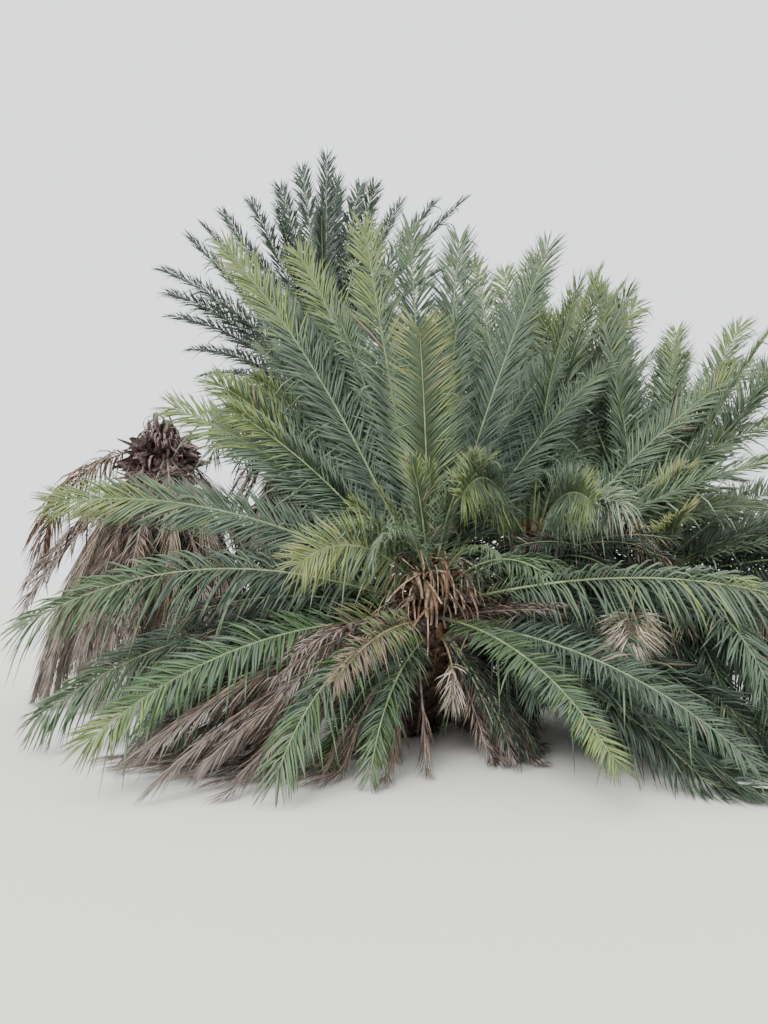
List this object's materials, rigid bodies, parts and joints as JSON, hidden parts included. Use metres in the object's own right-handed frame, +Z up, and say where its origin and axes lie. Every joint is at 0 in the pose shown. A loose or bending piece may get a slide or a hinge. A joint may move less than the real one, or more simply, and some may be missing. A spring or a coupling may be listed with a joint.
{
  "type": "date palm tree",
  "caption": "Date palm clump grown from one root: leaning stems with crowns of arching feather fronds and skirts of dry ones, cut flat at ground level to stand rooted.",
  "frame": {"origin": "middle of the flat cut under the tallest stem, at ground level", "axes": "+Z up; +X to the right and +Y away from the viewer, as the clump is seen from its open side"},
  "size_m": [8.8953, 7.5715, 6.2698],
  "materials": {
    "bark": "rough fibrous palm trunk with old leaf bases",
    "green_frond": "satin grey-green leaflets on a yellow-green midrib",
    "dry_frond": "matt tan-grey dead leaflets"
  },
  "bodies": {
    "root": {"dead_hang_back_fronds": "dry_frond", "dead_hang_front_fronds": "dry_frond", "dead_hang_left_fronds": "dry_frond", "dead_limp_frond": "dry_frond", "dead_stem": "bark", "front_arm_frond": "green_frond", "front_back_fronds": "green_frond", "front_curl_frond": "green_frond", "front_drop_frond": "green_frond", "front_lean_frond": "green_frond", "front_litter_fronds": "dry_frond", "front_low_rail_frond": "green_frond", "front_mast_frond": "green_frond", "front_paddle_frond": "green_frond", "front_rail_frond": "green_frond", "front_sail_frond": "green_frond", "front_second_frond": "green_frond", "front_shoulder_frond": "green_frond", "front_skirt_left_frond": "green_frond", "front_skirt_middle_frond": "green_frond", "front_skirt_right_frond": "green_frond", "front_spear_frond": "green_frond", "front_stem": "bark", "front_tan_frond": "dry_frond", "front_tilt_fronds": "green_frond", "front_trail_frond": "green_frond", "front_under_frond": "green_frond", "front_wing_frond": "green_frond", "middle_back_fronds": "green_frond", "middle_crook_frond": "green_frond", "middle_hooks_fronds": "green_frond", "middle_right_fan_fronds": "green_frond", "middle_silver_frond": "green_frond", "middle_skirt_fronds": "green_frond", "middle_stem": "bark", "middle_up_1_fronds": "green_frond", "middle_up_2_fronds": "green_frond", "middle_up_front_frond": "green_frond", "rear_back_fronds": "green_frond", "rear_stem": "bark", "rear_up_fronds": "green_frond", "right_back_fronds": "green_frond", "right_litter_fronds": "dry_frond", "right_side_fronds": "green_frond", "right_skirt_fronds": "green_frond", "right_stem": "bark", "right_up_1_fronds": "green_frond", "right_up_2_fronds": "green_frond", "right_young_frond": "green_frond", "tall_back_high_fronds": "green_frond", "tall_back_low_1_fronds": "green_frond", "tall_back_low_2_fronds": "green_frond", "tall_left_high_1_fronds": "green_frond", "tall_left_high_2_fronds": "green_frond", "tall_left_low_1_fronds": "green_frond", "tall_left_low_2_fronds": "green_frond", "tall_right_high_1_fronds": "green_frond", "tall_right_high_2_fronds": "green_frond", "tall_stem": "bark", "tall_thatch_fronds": "dry_frond"}
  },
  "joints": []
}
